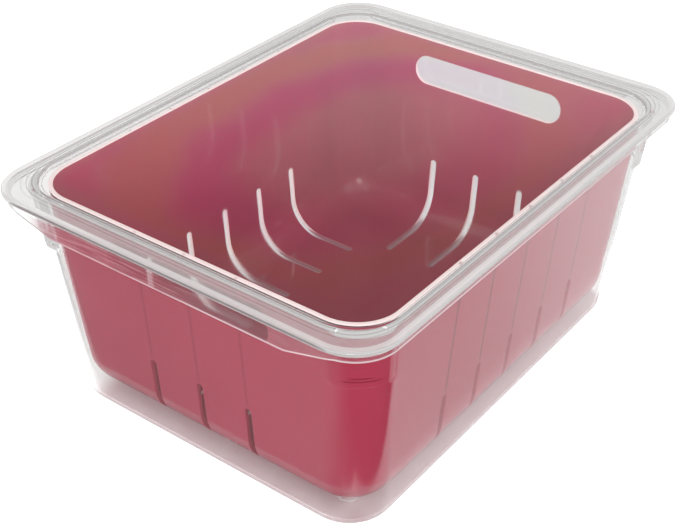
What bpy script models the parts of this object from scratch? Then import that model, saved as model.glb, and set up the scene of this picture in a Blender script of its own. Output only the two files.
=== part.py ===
"""Fridge bin: a clear outer bin, a slotted colander basket that stands in it, and a clear lid.

Metres, +Z up. X is the width and Y the length. The origin is at the bottom centre, on the plane that
the bin's four small feet stand on. The basket lifts out of the bin and the lid lifts off the rim, both
straight up. Every piece is one moulding, so its feet, lugs and grips belong to it.
"""

import math

import bmesh
import bpy
from mathutils import Matrix, Vector

MM = 0.001
GAP = 0.3 * MM  # clearance kept between pieces that rest on each other

# Outer bin
BIN_FLOOR_HALF = (87.2 * MM, 114.35 * MM)  # half width and length of the walls carried down to the floor
BIN_CORNER_R = 21.6 * MM
BIN_DRAFT = 0.0848  # how far a wall leans out for each unit of height
BIN_WALL = 2.0 * MM
BIN_FLOOR = 2.2 * MM
BIN_FILLET_R = 5.8 * MM  # outside, between floor and wall
FOOT_HEIGHT = 0.8 * MM
FOOT_R = 4.9 * MM
FLANGE_HALF = (103.3 * MM, 134.2 * MM)
FLANGE_CORNER_R = 20.3 * MM
FLANGE_TOP = 114.8 * MM
FLANGE_THICK = 2.0 * MM
LIP_DROP = 4.0 * MM  # how far the rim's outer lip hangs below the flange's top
SKIRT_DROP = 6.4 * MM  # how much lower the lip hangs at the short ends, as a finger grip
SKIRT_HALF = 64.0 * MM  # half width of the grip where it has its full depth
SKIRT_RAMP_END = 87.5 * MM  # half width where the grip has run out into the lip
LUG_OUT = 2.3 * MM  # how far a corner lug stands out from the wall
LUG_BOTTOM = 84.3 * MM
LUG_CHAMFER = 4.0 * MM

# Basket
BASKET_TOP = 113.7 * MM
BASKET_TOP_HALF = (93.55 * MM, 119.4 * MM)
BASKET_CORNER_R = 22.0 * MM
BASKET_DRAFT = 0.078
BASKET_WALL = 2.2 * MM
BASKET_BOTTOM = 5.7 * MM
BASKET_FILLET_R = 21.2 * MM  # outside, between floor and wall
BASKET_FOOT_R = 4.5 * MM
BASKET_FOOT_AT = (52.0 * MM, 76.0 * MM)
SLOT_WIDTH = 3.4 * MM
SLOT_TOP = 44.8 * MM
SLOT_PITCH = 27.8 * MM
LONG_WALL_SLOTS = 5
SHORT_WALL_SLOTS = 3
SLOT_END = (43.0 * MM, 68.5 * MM)  # how near the centre the slots run, across the width and the length
HANDLE_LENGTH = 90.0 * MM
HANDLE_HEIGHT = 15.9 * MM
HANDLE_Z = 96.2 * MM

# Lid
LID_HALF = (105.0 * MM, 136.6 * MM)
LID_CORNER_R = 22.5 * MM
LID_THICK = 2.1 * MM
LID_RECESS = 0.9 * MM  # how far the middle panel lies below the border, above and beneath
PANEL_HALF = (95.9 * MM, 123.2 * MM)
PANEL_CORNER_R = 22.5 * MM
PLUG_INSET = 1.7 * MM  # how far the step beneath the lid lies inside the step above

CORNER_STEPS = 8  # straight pieces in each rounded corner of an outline
FILLET_STEPS = 6
LUG_STEPS = range(2, 7)  # the corner points that a lug pushes out
CUT_CLEAR = 3.0 * MM  # how far a cutter stands out on each side of the wall it cuts

CLEAR = ((0.86, 0.87, 0.87, 1.0), 0.06)
RASPBERRY = ((0.42, 0.035, 0.075, 1.0), 0.22)


def outline(half, radius, z, push=0.0, pushed=()):
    """The corner points of a rounded rectangle at height z, anticlockwise from the -Y side.

    z is a height, or a function of x. push moves the corner points whose step is in pushed outwards.
    """
    points = []
    for corner, (sx, sy) in enumerate(((1, -1), (1, 1), (-1, 1), (-1, -1))):
        centre = Vector((sx * (half[0] - radius), sy * (half[1] - radius)))
        for step in range(CORNER_STEPS + 1):
            angle = math.radians(90.0) * (corner - 1 + step / CORNER_STEPS)
            reach = radius + (push if step in pushed else 0.0)
            x = centre.x + reach * math.cos(angle)
            y = centre.y + reach * math.sin(angle)
            points.append(Vector((x, y, z(x) if callable(z) else z)))
    return points


def grown(half, amount):
    return (half[0] + amount, half[1] + amount)


def loft(name, outlines):
    """A closed solid through the outlines, in order, with a flat cap on the first and the last."""
    mesh = bpy.data.meshes.new(name)
    bm = bmesh.new()
    rings = [[bm.verts.new(point) for point in points] for points in outlines]
    count = len(rings[0])
    for lower, upper in zip(rings, rings[1:]):
        for i in range(count):
            j = (i + 1) % count
            bm.faces.new((lower[i], lower[j], upper[j], upper[i]))
    bm.faces.new(reversed(rings[0]))
    bm.faces.new(rings[-1])
    bmesh.ops.recalc_face_normals(bm, faces=bm.faces)
    bm.to_mesh(mesh)
    bm.free()
    return bpy.data.objects.new(name, mesh)


def disc(name, radius, bottom, top, at):
    """A short upright cylinder, used as a foot."""
    mesh = bpy.data.meshes.new(name)
    bm = bmesh.new()
    bmesh.ops.create_cone(
        bm, cap_ends=True, segments=24, radius1=radius, radius2=radius, depth=top - bottom
    )
    bm.to_mesh(mesh)
    bm.free()
    foot = bpy.data.objects.new(name, mesh)
    foot.location = (at[0], at[1], (top + bottom) / 2)
    return foot


def material(name, look):
    colour, roughness = look
    made = bpy.data.materials.new(name)
    made.use_nodes = True
    shader = made.node_tree.nodes["Principled BSDF"]
    shader.inputs["Base Color"].default_value = colour
    shader.inputs["Roughness"].default_value = roughness
    shader.inputs["Metallic"].default_value = 0.0
    return made


def add_part(part, collection, look, parent):
    part.data.materials.append(material(part.name + "_plastic", look))
    part.data.shade_smooth()
    part.data.set_sharp_from_angle(angle=math.radians(35))
    collection.objects.link(part)
    part.parent = parent


def add_cutter(part, tool, cutters, operation="DIFFERENCE"):
    """Cuts tool from part, or joins it on, with the tool kept as a wire in its own collection."""
    cutters.objects.link(tool)
    tool.hide_render = True
    tool.display_type = "WIRE"
    boolean = part.modifiers.new(tool.name, "BOOLEAN")
    boolean.object = tool
    boolean.operation = operation
    boolean.solver = "EXACT"


def four_corners(at):
    return [(sx * at[0], sy * at[1]) for sx in (-1, 1) for sy in (-1, 1)]


def fillet(half_at, corner_r, radius, floor_z, draft):
    """Outlines up the rounded edge between a floor and leaning walls.

    half_at gives the wall's half sizes at a height. The last outline is where the arc meets the wall.
    """
    lean = math.atan(draft)
    centre_z = floor_z + radius
    inset = radius / math.cos(lean)
    made = []
    for step in range(FILLET_STEPS + 1):
        angle = math.radians(-90) + (math.radians(90) - lean) * step / FILLET_STEPS
        out = radius * math.cos(angle) - inset
        corner = max(corner_r + radius * (math.cos(angle) - 1), 1.0 * MM)
        made.append(outline(grown(half_at(centre_z), out), corner, centre_z + radius * math.sin(angle)))
    return made


def bin_half(z):
    """Half sizes of the outer bin's outside at height z."""
    return grown(BIN_FLOOR_HALF, BIN_DRAFT * (z - FOOT_HEIGHT))


def basket_half(z):
    """Half sizes of the basket's outside at height z."""
    return grown(BASKET_TOP_HALF, BASKET_DRAFT * (z - BASKET_TOP))


def lip_bottom(x):
    """Height of the rim lip's lower edge: level at the long sides, deeper at the short ends."""
    share = (SKIRT_RAMP_END - abs(x)) / (SKIRT_RAMP_END - SKIRT_HALF)
    return FLANGE_TOP - LIP_DROP - SKIRT_DROP * min(max(share, 0.0), 1.0)


def with_grip_corners(points):
    """Adds the points where the grip's ramp starts to the two short sides of an outline."""
    made = []
    for i, point in enumerate(points):
        made.append(point)
        after = points[(i + 1) % len(points)]
        if abs(after.x - point.x) > SKIRT_HALF:
            side = math.copysign(SKIRT_HALF, point.x)
            for x in (side, -side):
                z = lip_bottom(x) if abs(point.z - lip_bottom(point.x)) < 1e-6 else point.z
                made.append(Vector((x, point.y, z)))
    return made


def build_bin():
    """The tub: floor, leaning walls, corner lugs, flange, hanging lip and inside walls, in one loft."""
    under = FLANGE_TOP - FLANGE_THICK
    lug_full = LUG_BOTTOM + LUG_CHAMFER
    lip_in = grown(FLANGE_HALF, -FLANGE_THICK)
    lip_in_r = FLANGE_CORNER_R - FLANGE_THICK
    inner_r = BIN_CORNER_R - BIN_WALL

    def inner_half(z):
        return grown(bin_half(z), -BIN_WALL)

    rings = fillet(bin_half, BIN_CORNER_R, BIN_FILLET_R, FOOT_HEIGHT, BIN_DRAFT)
    rings.append(outline(bin_half(LUG_BOTTOM), BIN_CORNER_R, LUG_BOTTOM))
    for z in (lug_full, under):
        rings.append(outline(bin_half(z), BIN_CORNER_R, z, LUG_OUT, LUG_STEPS))
    rings.append(outline(lip_in, lip_in_r, under))
    rings.append(outline(lip_in, lip_in_r, lip_bottom))
    rings.append(outline(FLANGE_HALF, FLANGE_CORNER_R, lip_bottom))
    rings.append(outline(FLANGE_HALF, FLANGE_CORNER_R, FLANGE_TOP))
    rings.append(outline(inner_half(FLANGE_TOP), inner_r, FLANGE_TOP))
    inner_floor = FOOT_HEIGHT + BIN_FLOOR
    inner_fillet = BIN_FILLET_R - BIN_WALL
    rings += reversed(fillet(inner_half, inner_r, inner_fillet, inner_floor, BIN_DRAFT))
    return loft("outer_bin", [with_grip_corners(ring) for ring in rings])


def build_basket():
    """The basket before its slots are cut: outside up, over the plain rim, and down the inside."""
    inner_r = BASKET_CORNER_R - BASKET_WALL

    def inner_half(z):
        return grown(basket_half(z), -BASKET_WALL)

    rings = fillet(basket_half, BASKET_CORNER_R, BASKET_FILLET_R, BASKET_BOTTOM, BASKET_DRAFT)
    rings.append(outline(BASKET_TOP_HALF, BASKET_CORNER_R, BASKET_TOP))
    rings.append(outline(inner_half(BASKET_TOP), inner_r, BASKET_TOP))
    inner_floor = BASKET_BOTTOM + BASKET_WALL
    inner_fillet = BASKET_FILLET_R - BASKET_WALL
    rings += reversed(fillet(inner_half, inner_r, inner_fillet, inner_floor, BASKET_DRAFT))
    return loft("basket", rings)


def slot_path(axis):
    """The middle line of a slot in the wall on one side: down the wall, round the edge, along the floor.

    Gives (distance out, height) pairs for the short-way walls (axis 0) or the long-way walls (axis 1).
    """
    middle = BASKET_WALL / 2
    radius = BASKET_FILLET_R - middle
    lean = math.atan(BASKET_DRAFT)
    centre_z = BASKET_BOTTOM + BASKET_FILLET_R
    centre_out = basket_half(centre_z)[axis] - BASKET_FILLET_R / math.cos(lean)
    path = [(basket_half(SLOT_TOP)[axis] - middle, SLOT_TOP)]
    for step in range(FILLET_STEPS):
        # half a step on from the basket's own edges, so that no two edges cross
        angle = -lean + (lean - math.radians(90)) * (step + 0.5) / FILLET_STEPS
        path.append((centre_out + radius * math.cos(angle), centre_z + radius * math.sin(angle)))
    path.append((SLOT_END[axis], BASKET_BOTTOM + middle))
    return path


def slot_cutter(name, axis, side, across):
    """A bent ribbon as wide as a slot, thickened through the wall that it cuts."""
    mesh = bpy.data.meshes.new(name)
    bm = bmesh.new()
    edges = []
    for out, z in slot_path(axis):
        ends = []
        for half_width in (-SLOT_WIDTH / 2, SLOT_WIDTH / 2):
            place = (side * out, across + half_width) if axis == 0 else (across + half_width, side * out)
            ends.append(bm.verts.new((*place, z)))
        edges.append(ends)
    for (a, b), (c, d) in zip(edges, edges[1:]):
        bm.faces.new((a, b, d, c))
    bm.to_mesh(mesh)
    bm.free()
    cutter = bpy.data.objects.new(name, mesh)
    thick = cutter.modifiers.new("thickness", "SOLIDIFY")
    thick.thickness = BASKET_WALL + 2 * CUT_CLEAR
    thick.offset = 0.0
    thick.use_even_offset = True
    return cutter


def handle_cutter(name, side):
    """A long hole with round ends, through one short wall."""
    half = (HANDLE_LENGTH / 2, HANDLE_HEIGHT / 2)
    depth = BASKET_WALL / 2 + CUT_CLEAR
    hole = loft(name, [outline(half, HANDLE_HEIGHT / 2 - 0.05 * MM, z) for z in (-depth, depth)])
    wall_y = basket_half(HANDLE_Z)[1] - BASKET_WALL / 2
    hole.data.transform(Matrix.Rotation(math.radians(90), 4, "X"))
    hole.location = (0.0, side * wall_y, HANDLE_Z)
    return hole


def build_lid():
    """The lid: a flat border over the rim, and a middle panel that dips into the bin's mouth."""
    top = FLANGE_TOP + GAP + LID_THICK
    plug = grown(PANEL_HALF, -PLUG_INSET)
    plug_r = PANEL_CORNER_R - PLUG_INSET
    return loft(
        "lid",
        [
            outline(plug, plug_r, top - LID_THICK - LID_RECESS),
            outline(plug, plug_r, top - LID_THICK),
            outline(LID_HALF, LID_CORNER_R, top - LID_THICK),
            outline(LID_HALF, LID_CORNER_R, top),
            outline(PANEL_HALF, PANEL_CORNER_R, top),
            outline(PANEL_HALF, PANEL_CORNER_R, top - LID_RECESS),
        ],
    )


def slot_places(count):
    return [SLOT_PITCH * (i - (count - 1) / 2) for i in range(count)]


def main():
    for old in list(bpy.data.objects):
        bpy.data.objects.remove(old, do_unlink=True)
    parts = bpy.data.collections.new("fridge_bin")
    cutters = bpy.data.collections.new("fridge_bin_cutters")
    for collection in (parts, cutters):
        bpy.context.scene.collection.children.link(collection)
    root = bpy.data.objects.new("fridge_bin_origin", None)
    parts.objects.link(root)

    tub = build_bin()
    add_part(tub, parts, CLEAR, root)
    foot_at = (BIN_FLOOR_HALF[0] - BIN_CORNER_R, BIN_FLOOR_HALF[1] - BIN_CORNER_R)
    for number, at in enumerate(four_corners(foot_at)):
        foot = disc(f"bin_foot_{number}", FOOT_R, 0.0, FOOT_HEIGHT + BIN_FLOOR / 2, at)
        add_cutter(tub, foot, cutters, "UNION")

    basket = build_basket()
    add_part(basket, parts, RASPBERRY, root)
    basket_foot_bottom = FOOT_HEIGHT + BIN_FLOOR + GAP
    for number, at in enumerate(four_corners(BASKET_FOOT_AT)):
        foot_top = BASKET_BOTTOM + BASKET_WALL / 2
        foot = disc(f"basket_foot_{number}", BASKET_FOOT_R, basket_foot_bottom, foot_top, at)
        add_cutter(basket, foot, cutters, "UNION")
    for axis, count in ((0, LONG_WALL_SLOTS), (1, SHORT_WALL_SLOTS)):
        for side in (-1, 1):
            for number, across in enumerate(slot_places(count)):
                name = f"slot_{'xy'[axis]}_{'minus' if side < 0 else 'plus'}_{number}"
                add_cutter(basket, slot_cutter(name, axis, side, across), cutters)
    for side in (-1, 1):
        name = f"handle_hole_{'minus' if side < 0 else 'plus'}"
        add_cutter(basket, handle_cutter(name, side), cutters)

    add_part(build_lid(), parts, CLEAR, root)


main()
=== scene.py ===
"""The fridge bin's looks: a clear outer bin, a raspberry colander basket and a clear lid.

Metres, +Z up, in the frame's own place. Each of the three mouldings is remade here with rounded edges,
finer corners and true round slot ends, and rides on the body of the node that it stands for.
"""

import math

import bmesh
import bpy
from mathutils import Matrix, Vector


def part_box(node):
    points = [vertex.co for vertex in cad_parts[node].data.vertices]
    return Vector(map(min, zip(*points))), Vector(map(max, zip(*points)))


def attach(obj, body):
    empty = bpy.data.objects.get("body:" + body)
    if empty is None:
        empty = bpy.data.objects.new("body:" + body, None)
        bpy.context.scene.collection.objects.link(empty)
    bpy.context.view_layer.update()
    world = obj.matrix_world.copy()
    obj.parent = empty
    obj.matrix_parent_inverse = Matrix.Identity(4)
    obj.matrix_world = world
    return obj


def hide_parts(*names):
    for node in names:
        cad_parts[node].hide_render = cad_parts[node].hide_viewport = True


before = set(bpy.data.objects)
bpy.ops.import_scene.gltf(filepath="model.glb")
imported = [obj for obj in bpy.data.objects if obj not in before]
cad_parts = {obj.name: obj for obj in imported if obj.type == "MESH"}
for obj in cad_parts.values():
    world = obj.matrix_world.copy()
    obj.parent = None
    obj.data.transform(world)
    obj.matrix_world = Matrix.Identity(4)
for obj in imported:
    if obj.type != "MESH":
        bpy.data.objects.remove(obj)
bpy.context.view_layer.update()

MM = 0.001

_, BIN_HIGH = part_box("outer_bin")
BASKET_LOW, BASKET_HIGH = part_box("basket")
LID_LOW, LID_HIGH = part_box("lid")

# Outer bin
FOOT_HEIGHT = 0.8 * MM
FOOT_R = 4.9 * MM
FOOT_EDGE_R = 0.35 * MM
BIN_FLOOR_INSET = (16.1 * MM, 19.85 * MM)  # from the flange's edge to the walls carried down to the floor
BIN_FLOOR_HALF = (BIN_HIGH.x - BIN_FLOOR_INSET[0], BIN_HIGH.y - BIN_FLOOR_INSET[1])
BIN_CORNER_R = 21.6 * MM
BIN_DRAFT = 0.0848
BIN_WALL = 2.0 * MM
BIN_FLOOR = 2.2 * MM
BIN_FILLET_R = 5.8 * MM
BIN_RIM_R = 0.9 * MM
FLANGE_CORNER_R = 20.3 * MM
FLANGE_THICK = 2.0 * MM
FLANGE_FOLD_R = (0.8 * MM, 0.6 * MM)  # beneath it, at the wall and at the lip
LIP_DROP = 4.0 * MM
LIP_EDGE_R = 0.55 * MM
SKIRT_DROP = 6.4 * MM  # how much lower a finger grip hangs than the rest of the lip
SKIRT_HALF = 64.0 * MM
SKIRT_RAMP_END = 87.5 * MM
SKIRT_EASE = 3.0 * MM  # length over which the grip's ramp turns level
SKIRT_BEND = 64.2 * MM  # middle of the points that follow that turn
BEND_STEPS = 5
LUG_OUT = 2.3 * MM
LUG_BOTTOM = 84.3 * MM
LUG_CHAMFER = 4.0 * MM
LUG_SWELL = ((1.2 * MM, 0.25), (0.6 * MM, 0.80), (0.0, 1.0))  # how far below full width, and the share there
LUG_ARC = (22.5, 67.5)  # where a lug begins and ends round its corner, in degrees
LUG_SIDE = 20.0  # degrees over which a lug's side runs back to the wall

# Basket
BASKET_CORNER_R = 22.0 * MM
BASKET_DRAFT = 0.078
BASKET_WALL = 2.2 * MM
BASKET_FOOT_HEIGHT = 2.4 * MM
BASKET_BOTTOM = BASKET_LOW.z + BASKET_FOOT_HEIGHT
BASKET_FILLET_R = 21.2 * MM
BASKET_RIM_R = 0.5 * MM
BASKET_FOOT_R = 4.5 * MM
BASKET_FOOT_EDGE_R = 0.5 * MM
BASKET_FOOT_AT = (52.0 * MM, 76.0 * MM)
RIM_PALE = BASKET_HIGH.z - 0.50 * MM  # the rim is pale above this height
RIM_SHADE = BASKET_HIGH.z - 1.5 * MM  # and painted with shade outside, above this, in the narrow gap to the bin
SLOT_WIDTH = 3.4 * MM
SLOT_TOP = 44.8 * MM
SLOT_PITCH = 27.8 * MM
LONG_WALL_SLOTS = 5
SHORT_WALL_SLOTS = 3
SLOT_END = (43.0 * MM, 68.5 * MM)
HANDLE_HALF = (45.0 * MM, 7.95 * MM)
HANDLE_CORNER_R = HANDLE_HALF[1] - 0.05 * MM  # a hair less than half its height, so that no side vanishes
HANDLE_Z = 96.2 * MM

# Lid
LID_HALF = (LID_HIGH.x, LID_HIGH.y)
LID_CORNER_R = 22.5 * MM
LID_THICK = 2.1 * MM
LID_RECESS = 0.9 * MM
LID_EDGE_R = (0.8 * MM, 0.9 * MM)  # beneath and on top
PANEL_INSET = (9.1 * MM, 13.4 * MM)  # from the lid's edge to the step down to the middle panel
PANEL_HALF = (LID_HALF[0] - PANEL_INSET[0], LID_HALF[1] - PANEL_INSET[1])
PANEL_CORNER_R = 22.5 * MM
PLUG_INSET = 1.7 * MM
STEP_R = (0.35 * MM, 0.25 * MM)  # a step's edge and its inner fold
CAP_INSET = 4.0 * MM  # from a step to the edge of the flat face that closes the shape

# How finely shapes are made
CORNER_STEPS = 24
FILLET_STEPS = 14
EDGE_STEPS = 5  # straight pieces in each small rounded edge
EDGE_REACH = 0.49  # share of a straight stretch that one such edge may take up
FOOT_SIDES = 40
FOOT_EDGE_STEPS = 4
SLOT_TIP_STEPS = 10
FILLET_LEAST_CORNER_R = 1.0 * MM
CUT_CLEAR = 3.0 * MM
CUT_ROUND = 0.25 * MM  # rounding along the edges of slots and hand slots
CUT_EDGE_FROM = 50.0  # degrees between two faces from which their edge is such an edge
SMOOTH_TO = 32.0  # degrees between two faces up to which they shade as one
EVEN_WEIGHT = 80

WHITE = (1.0, 1.0, 1.0, 1.0)

# Clear plastic
BIN_TINT = (0.955, 0.958, 0.955, 1.0)
LID_TINT = (0.940, 0.945, 0.942, 1.0)
CLEAR_IOR = 1.57
CLEAR_PASS = (0.93, 0.93, 0.925, 1.0)  # what shadows and soft light keep on the way through
RIPPLE_SCALE = 16.0
SKIN_SCALE = 260.0
SKIN_DEPTH = 0.0015  # beside the ripple's
RIPPLE_STRENGTH = 0.10
RIPPLE_DISTANCE = 0.0006
HAZE_SCALE = 30.0
HAZE = (0.35, 0.75, 0.012, 0.05)  # noise from and to, roughness from and to
LED_TURNS = (6.5, 10.5)  # how often light turns inside the plastic before it counts as led along it
LED_GLOW = (0.70, 0.69, 0.685, 1.0)

# Stress rings in the lid, in shares of the first ring's size
RING_HALF = (60.0 * MM, 95.0 * MM)
RING_SCALE = 14.0
RING_WANDER = 0.7
MAGENTA_RINGS = (
    ((0.45, 0.90), (0.95, 1.30), 1.0),  # where it rises, where it falls, and how strong it is
    ((1.45, 1.70), (1.75, 2.10), 0.6),
)
GREEN_RING = ((1.05, 1.30), (1.35, 1.60))
RING_TINTS = ((1.0, 0.90, 0.99, 1.0), (1.0, 0.995, 0.94, 1.0))  # magenta and green in light passing through
RING_SHEENS = ((1.0, 0.10, 0.82, 1.0), (0.85, 1.0, 0.45, 1.0))  # and in light thrown back
RING_FADE = (12.0 * MM, 4.0 * MM)  # where they fade out, in from the basket's rim
RING_RIGHT = (-0.03, 0.05, 1.0, 0.5)  # x from and to, strength from and to

# Painted shade: a thin dark line across each of the bin's corner lugs, tinted like the basket seen through
# the plastic
LUG_SHADE_Z = LUG_BOTTOM + LUG_CHAMFER + 3.2 * MM
LUG_SHADE_HALF = (0.25 * MM, 0.6 * MM)
LUG_SHADE_SHARE = 0.75
LUG_SHADE_FROM = ((0.082, 0.085), (0.110, 0.113))  # how far out it starts, across and along
LUG_SHADE_TINT = (0.30, 0.10, 0.13, 1.0)

# Painted glow on the near grip: emitted streaks of the basket's colour, standing in for the basket seen
# through the clear grip
STREAK_STRETCH = 0.06  # how short x counts, so that they run along the grip
STREAK_SCALE = 900.0
STREAK_NOISE = (0.42, 0.68)
STREAK_GLOW_DEEP = (0.40, 0.085, 0.125, 1.0)
STREAK_GLOW_PALE = (0.66, 0.30, 0.34, 1.0)
STREAK_Y = (-0.1285, -0.1275)  # they fade out between these, inwards,
STREAK_END = (0.062, 0.080)  # and between these, to both sides
STREAK_SHARE = (-0.02, 0.035, 0.42, 0.10)  # x from and to, share from and to
STREAK_TOP = (3.2 * MM, 2.4 * MM)  # below the flange's top

# Painted glow at the lip's lower edge
LIP_FACE_BELOW = 1.2 * MM  # its faces start this far beneath the flange
LIP_FACE_SLACK = 0.5 * MM
LIP_FACE_TURN = -0.3  # and look down at least this much
EDGE_GLOW_SHARE = 0.6
EDGE_GLOW_AHEAD = (0.95, 0.70, 0.74, 1.0)
EDGE_GLOW_BEHIND = (0.62, 0.61, 0.61, 1.0)
EDGE_CHANGE = (0.055, 0.095)  # x less y, where one turns to the other

# Painted light in the lid's border: a pale sheen, a highlight band near the edge, and lines and a gap of
# painted shade
BORDER_SHEEN = 0.14
BORDER_SHEEN_FROM = (1.0 * MM, 2.0 * MM)  # beyond the panel's step
BORDER_HIGHLIGHT = (0.78, 0.76, 0.755, 1.0)
HIGHLIGHT_BAND = ((0.6 * MM, 1.2 * MM), (3.2 * MM, 3.8 * MM))  # painted highlight band, in from the lid's edge
HIGHLIGHT_BAND_SHARE = 0.65
HIGHLIGHT_BAND_DEPTH = (0.5 * MM, 0.2 * MM)  # below the lid's top, where it starts and is full
LINE_DEPTH = (0.3 * MM, 0.1 * MM)  # the same for the lines
STEP_LINE_HALF = (0.12 * MM, 0.30 * MM)
STEP_LINE_DARK = (-0.1225, -0.1185, 0.85, 0.40)  # painted shade line at the panel's step: y from and to, share from and to
BORDER_LINES = ((0.155, 0.34), (0.31, 0.28), (0.46, 0.16))  # painted shade lines: where across the border, and how dark
BORDER_LINE_HALF = (0.010, 0.026)
GAP_SHADE_IN = (0.20 * MM, 0.45 * MM)  # painted shade in the gap along the near side, in from the lid's side face
GAP_SHADE_SHARE = 0.70
GAP_SHADE_DEPTH = (1.3 * MM, 0.9 * MM)
GAP_SHADE_END = (0.078, 0.092)
BORDER_SHADE = (0.14, 0.09, 0.095, 1.0)
SHADE_FROM = 0.05  # share from which a painted mark is shade and not highlight

# Raspberry plastic
RASPBERRY = ((0.45, 0.042, 0.084, 1.0), (0.49, 0.052, 0.100, 1.0))
# a darker copy of the raspberry: painted shade for the basket's outside in the narrow gap to the bin
RASPBERRY_SHADED = ((0.06, 0.020, 0.026, 1.0), (0.08, 0.025, 0.030, 1.0))
# the rim's pale colour, also used for painted light on the cut edges
RASPBERRY_PALE_LIT = (0.86, 0.70, 0.695, 1.0)
SHADED_IOR = 1.05
PALE_SIDE = (-0.4, 0.3)  # painted light and shade: from the right and near cut edges, left dull as in shade, to the left and far ones, painted pale as lit
PALE_FLOOR = (-0.5 * MM, 1.5 * MM, 0.2, 1.0)  # above the floor from and to, share from and to; the painted light fades out along the floor, as in shade
RIM_SOFT = 0.2 * MM
EDGE_GLOW = 0.30  # painted glow at the pale edges, standing in for light that comes through the plastic
CLOUD_SCALE = 9.0
CLOUD_NOISE = (0.3, 0.7)
FLOW_LINE_HALF = (0.012, 0.045)  # in shares of the slots' spacing
FLOW_LINE_START = 3.0 * MM  # above a slot
FLOW_LINE_SHARE = 0.80
SHORT_LINE_SHARE = 0.4
FLOW_LINE = (0.20, 0.012, 0.030, 1.0)
FLOW_LINE_DEPTH = 0.15
BASKET_SKIN_SCALE = 420.0
BASKET_SKIN_DEPTH = 0.0015
BASKET_BUMP_STRENGTH = 0.5
BASKET_BUMP_DISTANCE = 0.0004
GLOSS_SCALE = 40.0
GLOSS = (0.3, 0.7, 0.04, 0.08)  # noise from and to, roughness from and to
BENEATH_SKIN = (0.12, 0.004, (1.0, 0.25, 0.3))  # share, depth and spread of light under the surface

# Table: plain to look at, with painted shade and light in what the object mirrors and shows through
TABLE_HALF = 6.0
TABLE_Z = -0.2 * MM
TABLE_GLOW = 0.50  # the table's own light, so that what stands on it is lit from below too
TABLE_WHITE = 0.75  # the same as looked at straight
TABLE_ALBEDO = 0.75
TABLE_AHEAD = 0.25  # share of the table's light that the walls mirror, in front: painted shade, as of the object's shadow there
TABLE_CORNER = 0.03  # the same off the near corner
CORNER_FROM = (0.05, 0.12)
TABLE_SLANT = 1.33  # how far the painted brighter stretch on the right, a pool of light that the walls mirror, leans back as it leaves the wall
SLANT_FROM = 0.09
BESIDE_FROM = (0.078, 0.090)
BESIDE_NEAR = (-0.129, -0.116, 0.0, 0.42)  # along it from and to, added share from and to
BESIDE_FAR = (-0.04, 0.14, 0.0, 0.24)
AHEAD_Y = (-0.130, -0.116)
AHEAD_LEFT = (-0.30, -0.20)
AHEAD_RIGHT = (0.085, 0.105)
TABLE_BEHIND = 0.72  # share left behind the object
BEHIND_FROM = (0.13, 0.20)
TABLE_UNDER = 0.50  # share left in the object's own shade
UNDER_LEFT = (-0.082, -0.066)
UNDER_RIGHT = (0.083, 0.093)
UNDER_ENDS = (0.110, 0.120)
TABLE_BLUSH = (1.0, 0.46, 0.54, 1.0)  # painted bounce light: the basket's colour thrown on the table beneath it
TABLE_SOFT = 0.35  # share of the table's light that lights matt surfaces
ONE_TURN = (0.5, 1.5)  # between these, light has been thrown back once
FEW_PASSES = 4.5  # and gone through fewer surfaces than this
NO_PASS = 0.5  # or through none

# Room
WORLD_HORIZON = 0.90
WORLD_FRONT = 1.35
WORLD_BACK_LOW = 0.68
WORLD_BACK = 0.30
WORLD_TOP = 0.22
FRONT_WAY = (0.5, 0.87)  # shares of +X and -Y in the way to the front
FRONT_FROM = (-0.25, 0.35)
BACK_RISE = (0.41, 0.54)
HORIZON_RISE = (0.12, 0.32)
TOP_RISE = (0.72, 0.92)

# Lamps: name, place, the point that it faces, width and height, watts, and whether it shows as a highlight
LAMPS = (
    ("front_box", (0.55, -1.00, 0.62), (0.0, 0.0, 0.06), (1.0, 0.7), 5.7, False),
    ("front_window", (0.60, -1.00, 0.62), (0.0, 0.0, 0.06), (0.30, 0.20), 1.8, True),
    ("right_box", (0.95, 0.35, 0.60), (0.0, 0.0, 0.06), (0.8, 0.6), 4.8, False),
    ("left_strip", (-1.00, -0.55, 0.75), (0.0, 0.0, 0.08), (0.25, 1.0), 5.0, False),
)

# Camera
CAMERA_AIM = (-48.63 * MM, 51.72 * MM, 0.8 * MM)
CAMERA_DISTANCE = 737.97 * MM
CAMERA_TURN = (36.855, 33.779, 0.354)  # degrees round to the right, up, and about its own axis
CAMERA_LENS = 69.88  # in millimetres, as its sensor is
CAMERA_SENSOR = 36.0
CAMERA_CLIP = (0.05, 50.0)

# How often light may turn
ALL_TURNS = 64
CLEAR_TURNS = 48
MATT_TURNS = 5
CUT_OUT_TURNS = 24


# ---------------------------------------------------------------- shapes

class Station:
    """One point of a wall's cross section, swept round a rounded rectangle.

    half and radius give the rectangle, z the height, drop how far the grips hang lower there, and lug
    how far the corner lugs stand out.
    """

    def __init__(self, half, radius, z, drop=0.0, lug=0.0, edge=0.0):
        self.values = (half[0], half[1], radius, z, drop, lug)
        self.edge = edge  # radius of the small rounding at this point

    def place(self):
        return Vector((self.values[0], self.values[3] - self.values[4]))

    def towards(self, first, a, second, b):
        """This station moved by the share a towards first and b towards second."""
        mixed = [
            v + a * (f - v) + b * (s - v)
            for v, f, s in zip(self.values, first.values, second.values)
        ]
        return Station(mixed[:2], mixed[2], mixed[3], mixed[4], mixed[5])


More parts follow.
